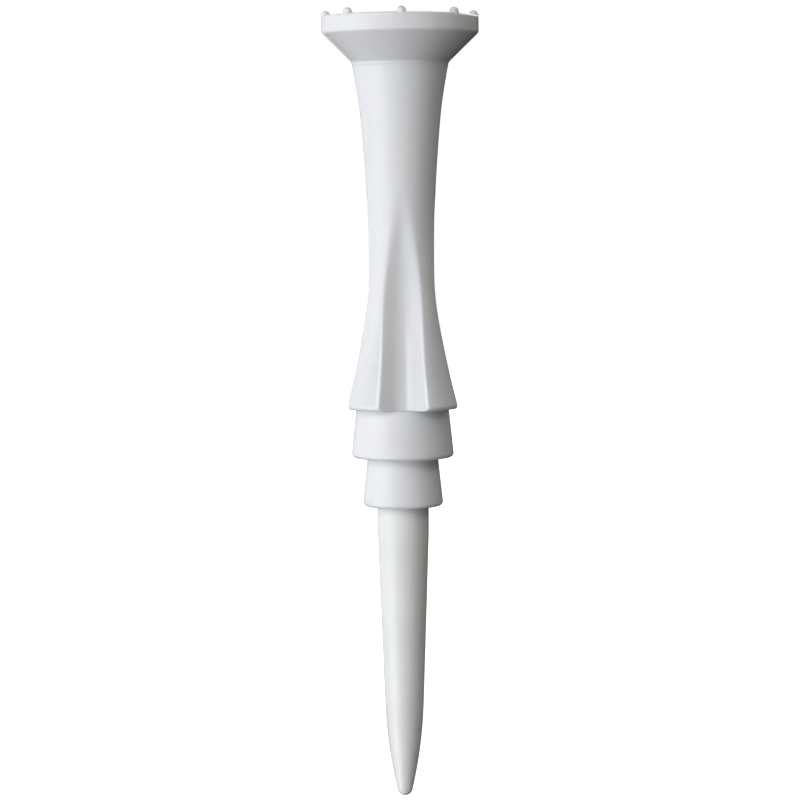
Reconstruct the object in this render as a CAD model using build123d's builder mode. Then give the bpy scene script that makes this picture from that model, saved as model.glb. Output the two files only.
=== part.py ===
from build123d import *

import os

# A stepped plastic golf tee, 83 mm tall, with its spike's tip at the origin and +Z up.
# Five pieces push together: the spike's shank carries the two collars and the fluted
# sleeve, and the cup's spigot pushes into the top of the sleeve. All sizes are in mm.

# Heights above the tip
spike_straight_height = 28.4  # the taper ends here and the full-width stretch starts
low_stop_height = 31.1  # underside of the lower collar
mid_stop_height = 36.25  # underside of the upper collar
high_stop_height = 41.45  # underside of the skirt
waist_height = 62.3  # narrowest part of the neck
neck_top_height = 77.25  # the cup sits on the neck here
rim_height = 82.4
nub_top_height = 83.0

# Spike
spike_radius = 2.71
taper_foot_radius = 2.05
taper_foot_height = 10.0
tip_radius = 0.8
point_angle = 13.4  # degrees from the axis, where the point's curve meets the round tip

# Joints inside
shank_radius = 1.6
shank_top_height = 54.4
shank_bore_clearance = 0.4  # empty space past the shank's end
lead_in = 0.3  # chamfer on the ends that push into a bore
seat_radius = 2.4  # small end of the cone that centres the lower collar on the spike
seat_height = 0.6
spigot_radius = 2.6
spigot_length = 8.6
socket_depth = 9.0

# Collars
lower_collar_top_radius = 3.72
lower_collar_base_radius = 4.27
upper_collar_top_radius = 4.88
upper_collar_base_radius = 5.43
collar_corner = 0.42

# Sleeve: neck, waist and skirt
neck_top_radius = 5.03
waist_radius = 3.60
skirt_base_radius = 6.48
skirt_corner = 0.42
flank_points = [
    (skirt_base_radius, high_stop_height),
    (5.72, 44.35),
    (4.73, 49.05),
    (4.08, 53.35),
    (3.76, 57.5),
    (waist_radius, waist_height),
    (3.96, 69.0),
    (4.41, 73.6),
    (neck_top_radius, neck_top_height),
]

# Grooves down the skirt, each a rounded V that opens outwards and gets deeper downwards
groove_count = 4
groove_root_radius = 2.6
groove_wall_length = 3.4  # long enough to reach past the skirt's surface
groove_mouth_radius = 9.0  # how far from the axis a groove's space is cut
# (height, radius of the floor from the axis, slope of the walls in degrees)
groove_sections = [
    (63.4, 3.72, 4.0),
    (61.15, 3.45, 9.0),
    (57.5, 3.19, 14.0),
    (53.35, 3.06, 19.5),
    (49.05, 3.54, 23.0),
    (44.35, 4.36, 25.5),
    (41.05, 4.98, 27.0),
]

# Cup
band_radius = 8.24
cone_top_height = 80.65
cone_foot_height = 77.55
cup_foot_radius = 5.05
band_lower_corner = 0.5
band_upper_corner = 0.26
cup_foot_fillet = 0.55
dish_radius = 7.1
dish_depth = 3.0
dish_edge_radius = 0.2
nub_count = 8
nub_circle_radius = 7.7
nub_radius = 0.5
nub_root_depth = 0.4  # how far each nub starts below the rim's top
nub_rounding = 0.46

match_tolerance = 1e-3


def ring_edges(piece, radius, height):
    """The circular edges of a turned piece that have this radius at this height."""
    return (
        piece.edges()
        .filter_by(GeomType.CIRCLE)
        .filter_by(lambda edge: abs(edge.radius - radius) < match_tolerance)
        .filter_by(lambda edge: abs(edge.arc_center.Z - height) < match_tolerance)
    )


# Spike: round tip, curved point, straight taper, a full-width stretch, then the hidden
# cone seat and the shank that carries the other pieces
with BuildPart() as ground_spike:
    with BuildSketch(Plane.XZ):
        with BuildLine():
            tip = CenterArc((0, tip_radius), tip_radius, -90, 90 - point_angle)
            taper_foot = (taper_foot_radius, taper_foot_height)
            taper = Line(taper_foot, (spike_radius, spike_straight_height))
            TangentArc(taper @ 0, tip @ 1, tangent=(taper % 0) * -1)
            Polyline(
                taper @ 1,
                (spike_radius, low_stop_height),
                (seat_radius, low_stop_height + seat_height),
                (shank_radius, low_stop_height + seat_height),
                (shank_radius, shank_top_height - lead_in),
                (shank_radius - lead_in, shank_top_height),
                (0, shank_top_height),
                (0, 0),
            )
        make_face()
    revolve(axis=Axis.Z)

# Lower collar: a flared ring, with a conical recess below for the spike's seat
with BuildPart() as lower_step_collar:
    with BuildSketch(Plane.XZ):
        with BuildLine():
            Polyline(
                (spike_radius, low_stop_height),
                (lower_collar_base_radius, low_stop_height),
                (lower_collar_top_radius, mid_stop_height),
                (shank_radius, mid_stop_height),
                (shank_radius, low_stop_height + seat_height),
                (seat_radius, low_stop_height + seat_height),
                close=True,
            )
        make_face()
    revolve(axis=Axis.Z)
    fillet(ring_edges(lower_step_collar, lower_collar_base_radius, low_stop_height), collar_corner)

# Upper collar: a wider flared ring on the same shank
with BuildPart() as upper_step_collar:
    with BuildSketch(Plane.XZ):
        with BuildLine():
            Polyline(
                (shank_radius, mid_stop_height),
                (upper_collar_base_radius, mid_stop_height),
                (upper_collar_top_radius, high_stop_height),
                (shank_radius, high_stop_height),
                close=True,
            )
        make_face()
    revolve(axis=Axis.Z)
    fillet(ring_edges(upper_step_collar, upper_collar_base_radius, mid_stop_height), collar_corner)

# One groove's space, along +X, lofted through its sections
with BuildPart() as groove_space:
    for height, floor_radius, wall_slope in groove_sections:
        with BuildSketch(Plane.XY.offset(height)):
            with BuildLine():
                centre = (floor_radius + groove_root_radius, 0)
                root = CenterArc(centre, groove_root_radius, 180 - wall_slope, 2 * wall_slope)
                left_wall = PolarLine(root @ 0, groove_wall_length, 90 - wall_slope)
                right_wall = PolarLine(root @ 1, groove_wall_length, wall_slope - 90)
                Polyline(
                    left_wall @ 1,
                    (groove_mouth_radius, (left_wall @ 1).Y),
                    (groove_mouth_radius, (right_wall @ 1).Y),
                    right_wall @ 1,
                )
            make_face()
    loft()

# Sleeve: neck, waist and skirt in one turned shape, with four grooves, a bore below for the
# shank and a socket above for the cup's spigot
with BuildPart() as fluted_sleeve:
    with BuildSketch(Plane.XZ):
        with BuildLine():
            flank = Spline(*flank_points)
            Polyline(flank @ 1, (0, neck_top_height), (0, high_stop_height), flank @ 0)
        make_face()
    revolve(axis=Axis.Z)
    fillet(ring_edges(fluted_sleeve, skirt_base_radius, high_stop_height), skirt_corner)
    with PolarLocations(0, groove_count):
        add(groove_space.part, mode=Mode.SUBTRACT)
    with Locations(Plane.XY.offset(neck_top_height)):
        Hole(spigot_radius, depth=socket_depth)
    with Locations(Plane(origin=(0, 0, high_stop_height), z_dir=(0, 0, -1))):
        Hole(shank_radius, depth=shank_top_height + shank_bore_clearance - high_stop_height)

# Cup: shallow dish, band and cone, a spigot below, and eight nubs that hold the ball clear
# of the rim
with BuildPart() as cup_head:
    with BuildSketch(Plane.XZ):
        with BuildLine():
            dish_floor = (0, rim_height - dish_depth)
            dish = TangentArc(dish_floor, (dish_radius, rim_height), tangent=(1, 0))
            spigot_end_height = neck_top_height - spigot_length
            Polyline(
                dish @ 1,
                (band_radius, rim_height),
                (band_radius, cone_top_height),
                (cup_foot_radius, cone_foot_height),
                (cup_foot_radius, neck_top_height),
                (spigot_radius, neck_top_height),
                (spigot_radius, spigot_end_height + lead_in),
                (spigot_radius - lead_in, spigot_end_height),
                (0, spigot_end_height),
                dish_floor,
            )
        make_face()
    revolve(axis=Axis.Z)
    fillet(ring_edges(cup_head, band_radius, rim_height), band_upper_corner)
    fillet(ring_edges(cup_head, band_radius, cone_top_height), band_lower_corner)
    fillet(ring_edges(cup_head, cup_foot_radius, cone_foot_height), cup_foot_fillet)
    fillet(ring_edges(cup_head, dish_radius, rim_height), dish_edge_radius)
    with Locations(Plane.XY.offset(rim_height - nub_root_depth)):
        with PolarLocations(nub_circle_radius, nub_count):
            Cylinder(
                nub_radius,
                nub_top_height - rim_height + nub_root_depth,
                align=(Align.CENTER, Align.CENTER, Align.MIN),
            )
    fillet(ring_edges(cup_head, nub_radius, nub_top_height), nub_rounding)

pieces = {
    "ground_spike": ground_spike,
    "lower_step_collar": lower_step_collar,
    "upper_step_collar": upper_step_collar,
    "fluted_sleeve": fluted_sleeve,
    "cup_head": cup_head,
}

os.makedirs("parts", exist_ok=True)
for name, piece in pieces.items():
    piece.part.label = name
    export_step(piece.part, f"parts/{name}.step")
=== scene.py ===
import math

import bmesh
import bpy
import numpy as np
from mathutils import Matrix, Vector


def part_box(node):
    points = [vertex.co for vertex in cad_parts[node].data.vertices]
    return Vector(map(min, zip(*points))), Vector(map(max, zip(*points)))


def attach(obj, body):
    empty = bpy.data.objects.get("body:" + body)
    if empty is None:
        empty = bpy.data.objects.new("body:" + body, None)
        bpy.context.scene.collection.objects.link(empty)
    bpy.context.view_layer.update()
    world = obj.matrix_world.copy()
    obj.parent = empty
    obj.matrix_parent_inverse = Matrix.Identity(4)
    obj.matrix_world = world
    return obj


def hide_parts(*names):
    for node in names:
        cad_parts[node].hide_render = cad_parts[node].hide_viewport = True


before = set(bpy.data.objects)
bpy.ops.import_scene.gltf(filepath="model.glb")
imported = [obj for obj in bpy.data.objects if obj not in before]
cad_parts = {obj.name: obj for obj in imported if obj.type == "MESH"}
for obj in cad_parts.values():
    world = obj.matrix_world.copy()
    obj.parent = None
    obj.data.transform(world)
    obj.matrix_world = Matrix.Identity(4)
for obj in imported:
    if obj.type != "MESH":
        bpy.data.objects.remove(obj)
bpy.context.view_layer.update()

# A stepped plastic golf tee. Each of its five CAD nodes is replaced by a finer mesh of the same
# piece: turned outlines with rounded corners, a sleeve with four soft-edged grooves, and a cup
# whose eight nubs are part of its rim. Shapes are in mm and are scaled to metres at the end.

MM = 0.001
BODY = "root"


def heights(node):
    """A node's lowest and highest point, in mm."""
    low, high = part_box(node)
    return low.z / MM, high.z / MM


# --- Camera -------------------------------------------------------------------------------------

CAMERA_DISTANCE = 0.285
CAMERA_HEIGHT = 0.06433
CAMERA_AZIMUTH = math.radians(-1.3)
CAMERA_ROLL = math.radians(0.42)
AIM_HEIGHT = 0.04225
AIM_LEFT = 0.00025  # the tee stands a little right of the middle of the view
LENS = 122.0
SENSOR = 36.0

camera_data = bpy.data.cameras.new("camera")
camera_data.lens = LENS
camera_data.sensor_width = SENSOR
camera_data.clip_start = 0.01
camera_data.clip_end = 20.0
camera = bpy.data.objects.new("camera", camera_data)
bpy.context.scene.collection.objects.link(camera)
camera.location = (
    CAMERA_DISTANCE * math.sin(CAMERA_AZIMUTH),
    -CAMERA_DISTANCE * math.cos(CAMERA_AZIMUTH),
    CAMERA_HEIGHT,
)
aim = Vector((-AIM_LEFT * math.cos(CAMERA_AZIMUTH), -AIM_LEFT * math.sin(CAMERA_AZIMUTH), AIM_HEIGHT))
camera.rotation_euler = (aim - camera.location).to_track_quat("-Z", "Y").to_euler()
camera.rotation_euler.rotate_axis("Z", -CAMERA_ROLL)
bpy.context.scene.camera = camera


# --- Mesh helpers -------------------------------------------------------------------------------

ARC_STEP = math.radians(9)
ROW_STEP = 0.8
GUARD_ROW = 0.05  # how far from each end of a long run its first row is, which keeps its shading even
SHARP_ANGLE = math.radians(38)
SEGMENTS = 192


def rounded(corners, closed=False, step=ROW_STEP):
    """Points along straight runs. Each corner is (radius, height, rounding)."""
    points = []
    for i, (x, z, rounding) in enumerate(corners):
        here = Vector((x, z))
        if rounding == 0:
            points.append(here)
            continue
        to_last = (Vector(corners[i - 1][:2]) - here).normalized()
        to_next = (Vector(corners[(i + 1) % len(corners)][:2]) - here).normalized()
        half = to_last.angle(to_next) / 2
        centre = here + (to_last + to_next).normalized() * rounding / math.sin(half)
        start = here + to_last * rounding / math.tan(half) - centre
        end = here + to_next * rounding / math.tan(half) - centre
        sweep = math.pi - 2 * half
        count = max(3, math.ceil(sweep / ARC_STEP))
        for j in range(count + 1):
            t = j / count
            first = math.sin((1 - t) * sweep) / math.sin(sweep)
            second = math.sin(t * sweep) / math.sin(sweep)
            points.append(centre + start * first + end * second)
    result = []
    following = points[1:] + points[:1] if closed else points[1:]
    for a, b in zip(points, following):
        length = (b - a).length
        result.append(a)
        if length < step:
            continue
        guard = GUARD_ROW / length
        count = math.ceil(length / step)
        for t in [guard] + [j / count for j in range(1, count)] + [1 - guard]:
            result.append(a.lerp(b, t))
    if not closed:
        result.append(points[-1])
    return [(p.x, p.y) for p in result]


def even_angles(count):
    return [math.tau * j / count for j in range(count)]


def ring(radius, height, angles):
    """Points round the axis, or a single point on it."""
    if radius == 0:
        return [(0.0, 0.0, height)]
    return [(radius * math.cos(a), radius * math.sin(a), height) for a in angles]


def strip(mesh, a, b, skip=()):
    """Joins two rings of vertices with faces. One of them can be a single vertex."""
    count = max(len(a), len(b))
    for j in range(count):
        if j in skip:
            continue
        k = (j + 1) % count
        corners = (a[j % len(a)], a[k % len(a)], b[k % len(b)], b[j % len(b)])
        mesh.faces.new(list(dict.fromkeys(corners)))


def skin(mesh, rings, closed=False, holes=None):
    """Joins rings of points with faces, and returns the rings of vertices."""
    rows = [[mesh.verts.new(p) for p in points] for points in rings]
    following = rows[1:] + rows[:1] if closed else rows[1:]
    for i, (a, b) in enumerate(zip(rows, following)):
        strip(mesh, a, b, skip=(holes or {}).get(i, ()))
    return rows


def finish_piece(name, mesh, node, material):
    """Makes an object of a mesh in mm that stands for a CAD node."""
    loose = [v for v in mesh.verts if not v.link_faces]
    bmesh.ops.delete(mesh, geom=loose, context="VERTS")
    bmesh.ops.recalc_face_normals(mesh, faces=mesh.faces)
    for v in mesh.verts:
        v.co *= MM
    data = bpy.data.meshes.new(name)
    mesh.to_mesh(data)
    mesh.free()
    data.shade_smooth()
    data.set_sharp_from_angle(angle=SHARP_ANGLE)
    data.materials.append(material)
    piece = bpy.data.objects.new(name, data)
    bpy.context.scene.collection.objects.link(piece)
    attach(piece, BODY)
    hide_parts(node)


def turned_piece(name, outline, closed, node, material):
    angles = even_angles(SEGMENTS)
    mesh = bmesh.new()
    skin(mesh, [ring(r, z, angles) for r, z in outline], closed)
    finish_piece(name, mesh, node, material)


def smooth_curve(points):
    """A function through (position, value) points whose slope and bend are continuous."""
    x, y = (np.array(column, float) for column in zip(*sorted(points)))
    gap = np.diff(x)
    slope = np.diff(y) / gap
    matrix = np.eye(len(x))
    bend = np.zeros(len(x))
    for i in range(1, len(x) - 1):
        matrix[i, i - 1 : i + 2] = gap[i - 1], 2 * (gap[i - 1] + gap[i]), gap[i]
        bend[i] = 6 * (slope[i] - slope[i - 1])
    bend = np.linalg.solve(matrix, bend)

    def value(at):
        at = np.asarray(at, float)
        i = np.clip(np.searchsorted(x, at) - 1, 0, len(gap) - 1)
        t = at - x[i]
        start = slope[i] - gap[i] * (2 * bend[i] + bend[i + 1]) / 6
        return y[i] + t * start + t**2 * bend[i] / 2 + t**3 * (bend[i + 1] - bend[i]) / (6 * gap[i])

    return value


# --- Materials ----------------------------------------------------------------------------------

STREAK_STRETCH = 0.04  # makes the noise of the streaks 25 times as long as it is wide
BUMP_DISTANCE = 0.00001


def plastic(name, light, shade):
    """Satin moulded plastic: faint clouding, uneven gloss, a fine mould finish and long streaks."""
    material = bpy.data.materials.new(name)
    material.use_nodes = True
    nodes = material.node_tree.nodes
    link = material.node_tree.links.new
    shader = nodes["Principled BSDF"]
    shader.inputs["IOR"].default_value = 1.5
    shader.inputs["Subsurface Weight"].default_value = 0.35
    shader.inputs["Subsurface Radius"].default_value = (1.0, 0.8, 0.6)
    shader.inputs["Subsurface Scale"].default_value = 0.0011
    place = nodes.new("ShaderNodeTexCoord").outputs["Object"]

    lengthwise = nodes.new("ShaderNodeMapping")
    lengthwise.inputs["Scale"].default_value = (1, 1, STREAK_STRETCH)
    link(place, lengthwise.inputs["Vector"])

    def noise(scale, detail, source=place):
        node = nodes.new("ShaderNodeTexNoise")
        node.inputs["Scale"].default_value = scale
        node.inputs["Detail"].default_value = detail
        link(source, node.inputs["Vector"])
        return node.outputs["Fac"]

    def spread(value, low, high):
        node = nodes.new("ShaderNodeMapRange")
        node.inputs["From Min"].default_value = 0.3
        node.inputs["From Max"].default_value = 0.7
        node.inputs["To Min"].default_value = low
        node.inputs["To Max"].default_value = high
        link(value, node.inputs["Value"])
        return node.outputs["Result"]

    clouding = nodes.new("ShaderNodeMix")
    clouding.data_type = "RGBA"
    clouding.inputs["A"].default_value = (*shade, 1)
    clouding.inputs["B"].default_value = (*light, 1)
    link(spread(noise(160, 3), 0, 1), clouding.inputs["Factor"])
    link(clouding.outputs["Result"], shader.inputs["Base Color"])
    link(spread(noise(700, 4), 0.15, 0.20), shader.inputs["Roughness"])

    def bump(strength, height):
        node = nodes.new("ShaderNodeBump")
        node.inputs["Strength"].default_value = strength
        node.inputs["Distance"].default_value = BUMP_DISTANCE
        link(height, node.inputs["Height"])
        return node

    finish = bump(0.25, noise(5000, 3))
    streaks = bump(0.3, noise(2200, 2, lengthwise.outputs["Vector"]))
    link(finish.outputs["Normal"], streaks.inputs["Normal"])
    link(streaks.outputs["Normal"], shader.inputs["Normal"])
    return material


cool_white = plastic("cool_white_plastic", (0.80, 0.803, 0.822), (0.77, 0.773, 0.792))
warm_white = plastic("warm_white_plastic", (0.81, 0.815, 0.812), (0.78, 0.785, 0.78))

# --- Spike --------------------------------------------------------------------------------------

SPIKE_RADIUS = 2.71
SHANK_RADIUS = 1.6
SEAT_RADIUS = 2.4
SEAT_HEIGHT = 0.6
LEAD_IN = 0.3
TAPER_FOOT = Vector((2.05, 10.0))
STRAIGHT_HEIGHT = 28.4
STRAIGHT_BLEND = 12.0  # radius of the soft bend between the taper and the straight stretch
TIP_RADIUS = 0.8
TIP_ROWS = 8
POINT_ANGLE = math.radians(13.4)
POINT_ROWS = 28
BROKEN_EDGE = 0.04  # rounding of an edge that looks sharp

tip_height, shank_top = heights("ground_spike")
low_stop, mid_stop = heights("lower_step_collar")
high_stop = heights("fluted_sleeve")[0]


def spike_outline():
    tip_centre = Vector((0, tip_height + TIP_RADIUS))
    points = []
    for j in range(TIP_ROWS + 1):
        a = (math.pi / 2 - POINT_ANGLE) * j / TIP_ROWS - math.pi / 2
        points.append(tip_centre + TIP_RADIUS * Vector((math.cos(a), math.sin(a))))
    points[0].x = 0  # exactly on the axis, where a ring becomes a single point
    # The point's curve starts where the round tip ends, and runs into the taper without a corner
    along = (Vector((SPIKE_RADIUS, STRAIGHT_HEIGHT)) - TAPER_FOOT).normalized()
    inward = Vector((-along.y, along.x))
    chord = points[-1] - TAPER_FOOT
    radius = chord.length_squared / (2 * inward.dot(chord))
    centre = TAPER_FOOT + inward * radius
    start = points[-1] - centre
    sweep = start.angle(TAPER_FOOT - centre)
    for j in range(1, POINT_ROWS + 1):
        a = math.atan2(start.y, start.x) + sweep * j / POINT_ROWS
        points.append(centre + radius * Vector((math.cos(a), math.sin(a))))
    corners = [(p.x, p.y, 0) for p in points]
    corners += [
        (SPIKE_RADIUS, STRAIGHT_HEIGHT, STRAIGHT_BLEND),
        (SPIKE_RADIUS, low_stop, BROKEN_EDGE),
        (SEAT_RADIUS, low_stop + SEAT_HEIGHT, BROKEN_EDGE),
        (SHANK_RADIUS, low_stop + SEAT_HEIGHT, 0),
        (SHANK_RADIUS, shank_top - LEAD_IN, 0),
        (SHANK_RADIUS - LEAD_IN, shank_top, 0),
        (0, shank_top, 0),
    ]
    return rounded(corners)


turned_piece("spike", spike_outline(), False, "ground_spike", warm_white)

# --- Collars ------------------------------------------------------------------------------------

LOWER_BASE_RADIUS = 4.27
LOWER_TOP_RADIUS = 3.72
UPPER_BASE_RADIUS = 5.43
UPPER_TOP_RADIUS = 4.88
COLLAR_CORNER = 0.42
COLLAR_RIM = 0.08
SEAT_GAP = 0.01  # keeps the lower collar's inner edge clear of the spike's

lower_collar = [
    (SPIKE_RADIUS + SEAT_GAP, low_stop, BROKEN_EDGE),
    (LOWER_BASE_RADIUS, low_stop, COLLAR_CORNER),
    (LOWER_TOP_RADIUS, mid_stop, COLLAR_RIM),
    (SHANK_RADIUS, mid_stop, 0),
    (SHANK_RADIUS, low_stop + SEAT_HEIGHT, 0),
    (SEAT_RADIUS, low_stop + SEAT_HEIGHT, 0),
]
upper_collar = [
    (SHANK_RADIUS, mid_stop, 0),
    (UPPER_BASE_RADIUS, mid_stop, COLLAR_CORNER),
    (UPPER_TOP_RADIUS, high_stop, COLLAR_RIM),
    (SHANK_RADIUS, high_stop, 0),
]
for name, corners, node in [
    ("lower_collar", lower_collar, "lower_step_collar"),
    ("upper_collar", upper_collar, "upper_step_collar"),
]:
    turned_piece(name, rounded(corners, closed=True), True, node, cool_white)

# --- Sleeve -------------------------------------------------------------------------------------

neck_top = heights("fluted_sleeve")[1]
SOCKET_RADIUS = 2.6
SOCKET_DEPTH = 9.0
BORE_CLEARANCE = 0.4
SKIRT_CORNER = 0.42
GROOVE_CORNER = 0.12
GROOVE_COUNT = 4
GROOVE_ROOT = 2.6
GROOVE_TOP = 63.4
LEAST_EDGE_ANGLE = math.radians(7)  # the mesh keeps its grooves' columns where the grooves end
CROWN_DEPTH = 0.07  # how much lower a rib is at its edge than a turned shape would be
CROWN_REACH = 1.0
CROWN_HEIGHTS = [54.0, 60.0]  # the crown fades out between these
SOFT_HEIGHTS = [57.0, 62.0]  # the grooves' edges get softer between these
SOFTNESS = [0.18, 0.30]
SLEEVE_ROW_STEP = 0.24
SLEEVE_TOP_ROWS = (0.1, 0.05, 0)  # below the sleeve's top
SLEEVE_TOP_GAP = 0.2  # below the sleeve's top, where the even rows stop
EDGE_COLUMN = 0.05  # the columns at a groove's edge are placed in steps of this length
EDGE_REACH = 5
EDGE_COLUMNS = (-3.6, -2.6, -1.8, -1.2, -0.6, 0, 0.6, 1.2, 1.8, 2.6, 3.6, EDGE_REACH)
GROOVE_COLUMNS = 12
RIB_COLUMNS = 10
BORE_ROWS = 12
SOCKET_ROWS = 9
HALVINGS = 40

flank = smooth_curve([
    (41.45, 6.48), (44.35, 5.72), (49.05, 4.73), (53.35, 4.08), (57.5, 3.76),
    (62.3, 3.60), (69.0, 3.96), (73.6, 4.41), (77.25, 5.03),
])
# The groove's floor, as distance from the axis, and the slope of its walls in degrees
groove_floor = smooth_curve([
    (41.05, 4.98), (44.35, 4.36), (49.05, 3.54), (53.35, 3.06), (57.5, 3.19), (61.15, 3.45),
    (63.4, 3.72),
])
groove_slope = smooth_curve([
    (41.05, 27.0), (44.35, 25.5), (49.05, 23.0), (53.35, 19.5), (57.5, 14.0), (61.15, 9.0),
    (63.4, 4.0),
])


def flank_radius(height):
    """The turned shape's radius, with the rounded lower corner of the skirt."""
    radius = flank(height)
    lean = float(flank(high_stop) - flank(high_stop + SKIRT_CORNER)) / SKIRT_CORNER
    centre_height = high_stop + SKIRT_CORNER
    centre = float(flank(high_stop)) - lean * SKIRT_CORNER - SKIRT_CORNER * math.hypot(1, lean)
    touch = centre_height + SKIRT_CORNER * lean / math.hypot(1, lean)
    reach = np.clip(SKIRT_CORNER**2 - (height - centre_height) ** 2, 0, None)
    return np.where(height < touch, centre + np.sqrt(reach), radius)


def groove_radius(angle, height):
    """The distance from the axis to a groove's surface, at an angle from the groove's middle."""
    slope = np.radians(groove_slope(min(height, GROOVE_TOP)))
    centre = groove_floor(min(height, GROOVE_TOP)) + GROOVE_ROOT
    touch = centre - GROOVE_ROOT * np.cos(slope), GROOVE_ROOT * np.sin(slope)
    wall = (touch[0] - touch[1] * np.tan(slope)) / (np.cos(angle) - np.sin(angle) * np.tan(slope))
    inside = GROOVE_ROOT**2 - (centre * np.sin(angle)) ** 2
    root = centre * np.cos(angle) - np.sqrt(np.clip(inside, 0, None))
    radius = np.where((inside > 0) & (root * np.sin(angle) < touch[1]), root, wall)
    above = np.clip(high_stop + GROOVE_CORNER - height, 0, GROOVE_CORNER)
    radius = radius - GROOVE_CORNER + np.sqrt(GROOVE_CORNER**2 - above**2)
    return np.where(height > GROOVE_TOP, radius + height - GROOVE_TOP, radius)


def sleeve_radius(angle, height, edge):
    """The skirt's surface: ribs that curve in towards the grooves, with softened edges."""
    softness = np.interp(height, SOFT_HEIGHTS, SOFTNESS)
    crown = np.interp(height, CROWN_HEIGHTS, [CROWN_DEPTH, 0.0])
    outer = flank_radius(height)
    inward = np.clip(1 - (angle - edge) * outer / CROWN_REACH, 0, 2)
    outer = outer - crown * inward**2
    inner = groove_radius(angle, height) - crown
    overlap = np.clip(softness - np.abs(outer - inner), 0, None)
    return np.minimum(outer, inner) - overlap**2 / (4 * softness)


def groove_edge(height):
    """The angle from a groove's middle to its edge."""
    low, high = 0.0, math.pi / 4
    for _ in range(HALVINGS):
        middle = (low + high) / 2
        if groove_radius(middle, height) < flank_radius(height):
            low = middle
        else:
            high = middle
    return max(low, LEAST_EDGE_ANGLE)


def sleeve_ring(height):
    """One row of the sleeve's outside, with its columns packed close at the grooves' edges."""
    edge = groove_edge(height)
    near = EDGE_COLUMN / float(flank_radius(height))
    rib_middle = math.pi / 4
    beyond = edge + EDGE_REACH * near
    angles = [(edge - EDGE_REACH * near) * t for t in np.linspace(0, 1, GROOVE_COLUMNS)]
    angles += [edge + near * t for t in EDGE_COLUMNS]
    angles += [beyond + (rib_middle - beyond) * t for t in np.linspace(0, 1, RIB_COLUMNS + 1)[1:]]
    mirrored = [math.pi / 2 - a for a in reversed(angles[:-1])]
    points = []
    for quarter in range(GROOVE_COUNT):
        for a in angles + mirrored[:-1]:
            from_middle = min(a, math.pi / 2 - a)
            radius = float(sleeve_radius(from_middle, height, edge))
            turn = a + quarter * math.pi / 2
            points.append((radius * math.cos(turn), radius * math.sin(turn), height))
    return points


def sleeve_rows():
    """The heights of the sleeve's rows, close together at its lower corner and at its top."""
    turns = [math.radians(a) for a in range(0, 105, 8)]
    corner = [high_stop + SKIRT_CORNER * (1 - math.cos(a)) for a in turns]
    rest = np.arange(corner[-1] + 0.1, neck_top - SLEEVE_TOP_GAP, SLEEVE_ROW_STEP)
    return corner + list(rest) + [neck_top - depth for depth in SLEEVE_TOP_ROWS]


def circle_like(points, radius, height):
    """A circle whose points stand at the same angles as those of another ring."""
    angles = [math.atan2(y, x) for x, y, _ in points]
    return [(radius * math.cos(a), radius * math.sin(a), height) for a in angles]


def between(a, b, t):
    """A ring part of the way from one ring to another."""
    return [tuple(np.array(p) * (1 - t) + np.array(q) * t) for p, q in zip(a, b)]


outside = [sleeve_ring(height) for height in sleeve_rows()]
bore_end = shank_top + BORE_CLEARANCE
bore_heights = np.linspace(bore_end, high_stop, BORE_ROWS)
bore = [circle_like(outside[0], SHANK_RADIUS, z) for z in bore_heights]
below = [between(bore[-1], outside[0], t) for t in (0.3, 0.6, 0.85, 0.97)]
socket_floor = neck_top - SOCKET_DEPTH
socket_heights = np.linspace(neck_top, socket_floor, SOCKET_ROWS)
socket = [circle_like(outside[-1], SOCKET_RADIUS, z) for z in socket_heights]
above = [between(outside[-1], socket[0], t) for t in (0.03, 0.5)]
sleeve_mesh = bmesh.new()
skin(
    sleeve_mesh,
    [[(0, 0, bore_end)]] + bore + below + outside + above + socket + [[(0, 0, socket_floor)]],
)
finish_piece("sleeve", sleeve_mesh, "fluted_sleeve", cool_white)

# --- Cup ----------------------------------------------------------------------------------------

spigot_end, nub_top = heights("cup_head")
RIM = 82.4
RIM_CORNER = 0.26
BAND_RADIUS = 8.24
BAND_CORNER = 0.5
CONE_TOP = 80.65
CONE_FOOT = 77.55
FOOT_RADIUS = 5.05
FOOT_FILLET = 0.55
FOOT_EDGE = 0.03
DISH_RADIUS = 7.1
DISH_DEPTH = 3.0
DISH_EDGE = 0.14
DISH_ROWS = 24
CUP_ROW_STEP = 0.6
NUB_COUNT = 8
NUB_CIRCLE = 7.7
NUB_RADIUS = 0.5
NUB_ROUNDING = 0.46
NUB_ROWS = 9
NUB_FOOT = 0.035  # how far a nub's foot reaches past its side
PATCH_COLUMNS = 3  # on each side of a nub's middle, replaced by the nub and the rim round it
PATCH_RADII = (7.05, 8.2)  # the dish's last row and the band's first that stay whole
PATCH_DEPTHS = (1.0, 0.4)  # below the rim's top: no deeper inside, and at least this outside


def cup_profile():
    sphere = (DISH_RADIUS**2 + DISH_DEPTH**2) / (2 * DISH_DEPTH)
    corners = []
    for j in range(DISH_ROWS):
        a = math.asin(DISH_RADIUS / sphere) * j / DISH_ROWS
        corners.append((sphere * math.sin(a), RIM - DISH_DEPTH + sphere * (1 - math.cos(a)), 0))
    corners += [
        (DISH_RADIUS, RIM, DISH_EDGE),
        (BAND_RADIUS, RIM, RIM_CORNER),
        (BAND_RADIUS, CONE_TOP, BAND_CORNER),
        (FOOT_RADIUS, CONE_FOOT, FOOT_FILLET),
        (FOOT_RADIUS, neck_top, FOOT_EDGE),
        (SOCKET_RADIUS, neck_top, 0),
        (SOCKET_RADIUS, spigot_end + LEAD_IN, 0),
        (SOCKET_RADIUS - LEAD_IN, spigot_end, 0),
        (0, spigot_end, 0),
    ]
    return rounded(corners, step=CUP_ROW_STEP)


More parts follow.
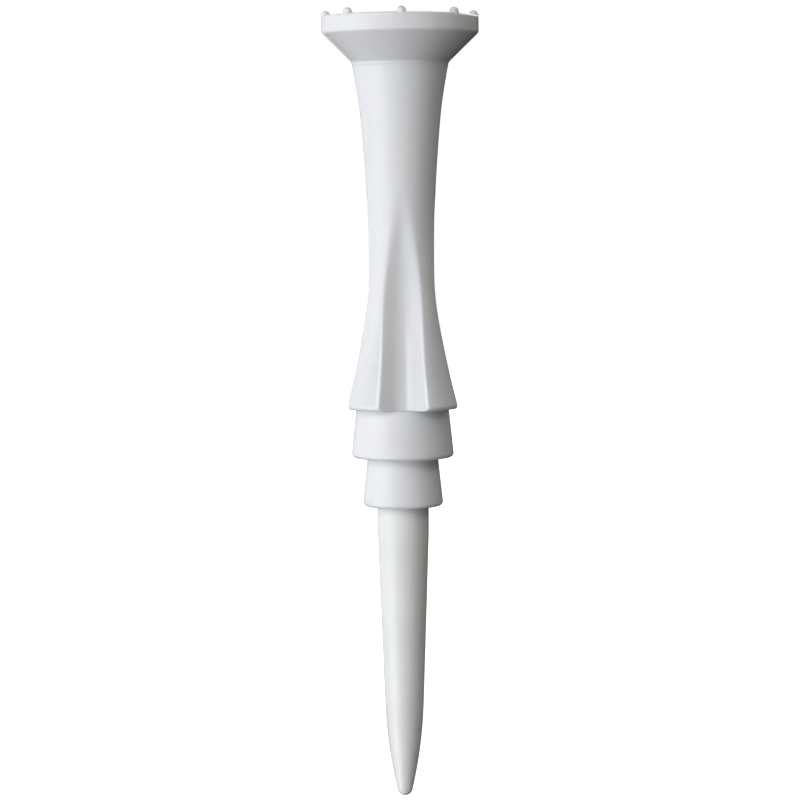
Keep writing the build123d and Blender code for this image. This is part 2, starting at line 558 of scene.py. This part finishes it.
cup_outline = cup_profile()
turn_step = math.tau / SEGMENTS
cup_angles = [j * turn_step for j in range(SEGMENTS)]
nub_columns = [k * SEGMENTS // NUB_COUNT for k in range(NUB_COUNT)]
first_row = max(
    i for i, (r, z) in enumerate(cup_outline) if r < PATCH_RADII[0] and z > RIM - PATCH_DEPTHS[0]
)
last_row = min(
    i for i, (r, z) in enumerate(cup_outline) if r > PATCH_RADII[1] and z < RIM - PATCH_DEPTHS[1]
)
across = range(-PATCH_COLUMNS, PATCH_COLUMNS)
hole_columns = {(middle + j) % SEGMENTS for middle in nub_columns for j in across}
holes = {i: hole_columns for i in range(first_row, last_row)}
cup_mesh = bmesh.new()
cup_rows = skin(cup_mesh, [ring(r, z, cup_angles) for r, z in cup_outline], holes=holes)

# The rim's surface as a function of the way travelled along the outline
travel = [0.0]
for a, b in zip(cup_outline, cup_outline[1:]):
    travel.append(travel[-1] + math.dist(a, b))
rim_part = slice(first_row, last_row + 1)
rim_travel = np.array(travel[rim_part])
rim_radius = np.array([r for r, z in cup_outline[rim_part]])
rim_height = np.array([z for r, z in cup_outline[rim_part]])
flat_part = rim_radius < BAND_RADIUS - 0.001


def travel_to(radius):
    return float(np.interp(radius, rim_radius[flat_part], rim_travel[flat_part]))


# A patch's border, anticlockwise, as (row, column) with column 0 at the nub's middle
border = [(first_row, j) for j in across]
border += [(i, PATCH_COLUMNS) for i in range(first_row, last_row)]
border += [(last_row, -j) for j in across]
border += [(i, -PATCH_COLUMNS) for i in range(last_row, first_row, -1)]
border_places = [(travel[i], j * turn_step) for i, j in border]
nub_travel = travel_to(NUB_CIRCLE)
facing = [math.atan2(a * NUB_CIRCLE, s - nub_travel) for s, a in border_places]


def round_nub(radius):
    """Places round a nub, each as its distance and angle from the cup's axis."""
    for f in facing:
        x = NUB_CIRCLE + radius * math.cos(f)
        y = radius * math.sin(f)
        yield math.hypot(x, y), math.atan2(y, x)


foot_places = [(travel_to(reach), a) for reach, a in round_nub(NUB_RADIUS + NUB_FOOT)]


def rim_ring(t, turn):
    """Points on the rim's surface, between a patch's border (t = 0) and a nub's foot (t = 1)."""
    points = []
    for (s0, a0), (s1, a1) in zip(border_places, foot_places):
        s = s0 * (1 - t) + s1 * t
        a = a0 * (1 - t) + a1 * t + turn
        r, z = (float(np.interp(s, rim_travel, column)) for column in (rim_radius, rim_height))
        points.append((r * math.cos(a), r * math.sin(a), z))
    return points


def nub_ring(radius, height, turn):
    places = [(reach, a + turn) for reach, a in round_nub(radius)]
    return [(reach * math.cos(a), reach * math.sin(a), height) for reach, a in places]


nub_sides = [(NUB_RADIUS + 0.01, RIM + 0.02), (NUB_RADIUS, RIM + 0.06)]
for j in range(NUB_ROWS):
    a = math.pi / 2 * j / NUB_ROWS
    radius = NUB_RADIUS - NUB_ROUNDING * (1 - math.cos(a))
    nub_sides.append((radius, nub_top - NUB_ROUNDING + NUB_ROUNDING * math.sin(a)))

for middle in nub_columns:
    turn = middle * turn_step
    rings = [rim_ring(t, turn) for t in (0.35, 0.7, 1.0)]
    rings += [nub_ring(radius, height, turn) for radius, height in nub_sides]
    rings.append([(NUB_CIRCLE * math.cos(turn), NUB_CIRCLE * math.sin(turn), nub_top)])
    last = [cup_rows[i][(middle + j) % SEGMENTS] for i, j in border]
    for points in rings:
        row = [cup_mesh.verts.new(p) for p in points]
        strip(cup_mesh, last, row)
        last = row
finish_piece("cup", cup_mesh, "cup_head", cool_white)

# --- Stage and light ----------------------------------------------------------------------------

# A pale round floor that curves up into a wall all round, in metres. Only the camera sees it, so
# it neither lights the tee nor shows in its gloss.
FLOOR_RADIUS = 1.2
FLOOR_ROWS = (0.05, 0.2, 0.5, 1.0)
BEND_RADIUS = 0.8
BEND_ROWS = 12
WALL_HEIGHT = 1.6
STAGE_SEGMENTS = 96

stage_outline = [(0, 0)] + [(FLOOR_RADIUS * t, 0) for t in FLOOR_ROWS]
for j in range(1, BEND_ROWS + 1):
    a = math.pi / 2 * j / BEND_ROWS
    stage_outline.append((FLOOR_RADIUS + BEND_RADIUS * math.sin(a), BEND_RADIUS * (1 - math.cos(a))))
stage_outline.append((FLOOR_RADIUS + BEND_RADIUS, BEND_RADIUS + WALL_HEIGHT))
stage_mesh = bmesh.new()
stage_angles = even_angles(STAGE_SEGMENTS)
skin(stage_mesh, [ring(r, z, stage_angles) for r, z in stage_outline])
bmesh.ops.recalc_face_normals(stage_mesh, faces=stage_mesh.faces)
stage_data = bpy.data.meshes.new("stage")
stage_mesh.to_mesh(stage_data)
stage_mesh.free()
stage_data.shade_smooth()
pale = bpy.data.materials.new("pale_stage")
pale.use_nodes = True
pale_shader = pale.node_tree.nodes["Principled BSDF"]
pale_shader.inputs["Base Color"].default_value = (0.5, 0.5, 0.5, 1)
pale_shader.inputs["Roughness"].default_value = 0.9
pale_shader.inputs["Specular IOR Level"].default_value = 0.0
pale_shader.inputs["Emission Color"].default_value = (1, 1, 1, 1)
pale_shader.inputs["Emission Strength"].default_value = 1.0
stage_data.materials.append(pale)
stage = bpy.data.objects.new("stage", stage_data)
bpy.context.scene.collection.objects.link(stage)
stage.visible_diffuse = False
stage.visible_glossy = False
stage.visible_transmission = False
stage.visible_shadow = False

LIGHT_DISTANCE = 0.6
LIGHT_TARGET = Vector((0, 0, 0.042))
COOL = (0.99, 0.998, 1.0)
COOLER = (0.975, 0.995, 1.035)
WARM = (1.0, 0.985, 0.86)
NEUTRAL = (1, 1, 1)


def softbox(name, azimuths, elevations, radiance, colour):
    """A panel of light that faces the tee, between two azimuths and two elevations in degrees.

    Azimuth 0 is the front, and negative ones are on the left.
    """
    start, end = (math.radians(a) for a in azimuths)
    low, high = (math.radians(a) for a in elevations)
    azimuth, elevation = (start + end) / 2, (low + high) / 2
    data = bpy.data.lights.new(name, "AREA")
    data.shape = "RECTANGLE"
    data.size = 2 * LIGHT_DISTANCE * math.cos(elevation) * math.tan((end - start) / 2)
    data.size_y = 2 * LIGHT_DISTANCE * math.tan((high - low) / 2)
    data.energy = radiance * math.pi * data.size * data.size_y
    data.color = colour
    light = bpy.data.objects.new(name, data)
    bpy.context.scene.collection.objects.link(light)
    outward = Vector((math.sin(azimuth), -math.cos(azimuth), math.tan(elevation))).normalized()
    light.location = LIGHT_TARGET + outward * LIGHT_DISTANCE
    light.rotation_euler = (-outward).to_track_quat("-Z", "Y").to_euler()
    light.visible_camera = False


softbox("key", (-92, -37), (-15, 15), 1.8, COOL)
softbox("key_low", (-92, -40), (-42, -15), 2.4, COOL)
softbox("front", (-37, 10), (-15, 15), 0.7, COOLER)
softbox("low_front", (-62, -4), (-40, -15), 0.88, COOLER)
softbox("high_front", (-46, -14), (15, 38), 5.9, COOLER)
softbox("left_back", (-160, -92), (-15, 40), 0.8, COOL)
softbox("left_low", (-130, -98), (-55, -25), 0.25, COOL)
softbox("high_left", (-155, -80), (40, 70), 0.5, COOL)
softbox("right", (10, 50), (-15, 15), 0.5, WARM)
softbox("right_high", (32, 75), (25, 68), 1.1, WARM)
softbox("right_back", (110, 170), (15, 40), 2.7, NEUTRAL)
softbox("back", (-190, -162), (-15, 60), 1.2, NEUTRAL)
softbox("top", (-20, 20), (70, 110), 3.0, NEUTRAL)

world = bpy.data.worlds.new("studio")
world.use_nodes = True
background = world.node_tree.nodes["Background"]
background.inputs["Color"].default_value = (1, 0.98, 0.94, 1)
background.inputs["Strength"].default_value = 0.01
bpy.context.scene.world = world
bpy.context.scene.view_settings.view_transform = "Standard"
